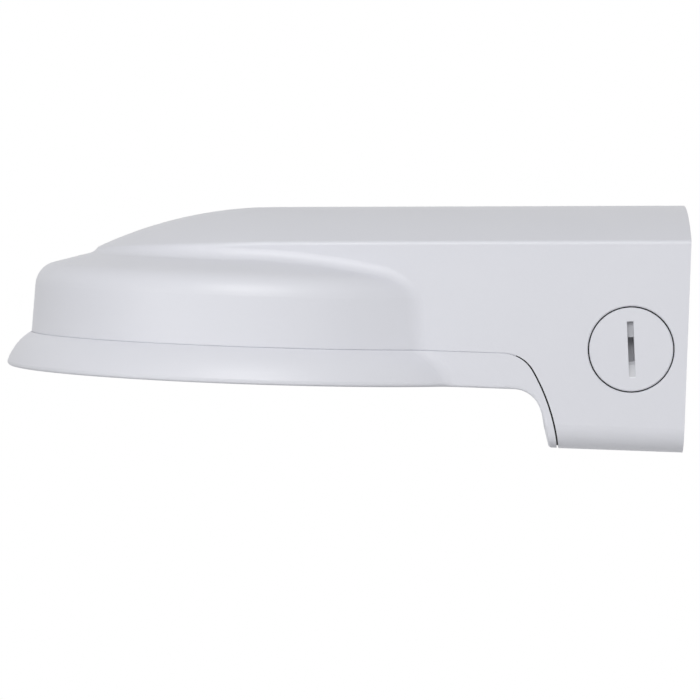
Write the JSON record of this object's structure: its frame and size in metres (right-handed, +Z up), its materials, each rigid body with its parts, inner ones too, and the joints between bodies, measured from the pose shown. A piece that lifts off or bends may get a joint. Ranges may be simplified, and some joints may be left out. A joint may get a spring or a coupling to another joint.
{
  "type": "camera wall bracket",
  "caption": "Wall bracket that carries a dome camera under a round dish at the end of a hollow, crowned arm, with a screwed lower cover and a plugged side cable outlet.",
  "frame": {"origin": "middle of the face that meets the wall, which is the centre of the wall screw holes", "axes": "+X into the wall, the arm runs along -X, +Z up, the plugged side outlet faces -Y"},
  "size_m": [0.2216, 0.1664, 0.0784],
  "materials": {
    "powder_coated_body": "satin white powder coat on die-cast aluminium, very fine orange peel",
    "powder_coated_cover": "satin white powder coat on die-cast aluminium, very fine orange peel",
    "powder_coated_plug": "satin white powder coat on a turned metal plug",
    "black_rubber": "matt black moulded rubber",
    "stainless_screws": "plain stainless steel"
  },
  "bodies": {
    "root": {"bracket_body": "powder_coated_body", "lower_cover": "powder_coated_cover", "side_plug": "powder_coated_plug", "side_plug_seal": "black_rubber", "joint_seal": "black_rubber", "wall_seal": "black_rubber", "cover_screws": "stainless_screws", "cover_screw_washers": "stainless_screws", "cover_screw_keepers": "black_rubber"}
  },
  "joints": []
}
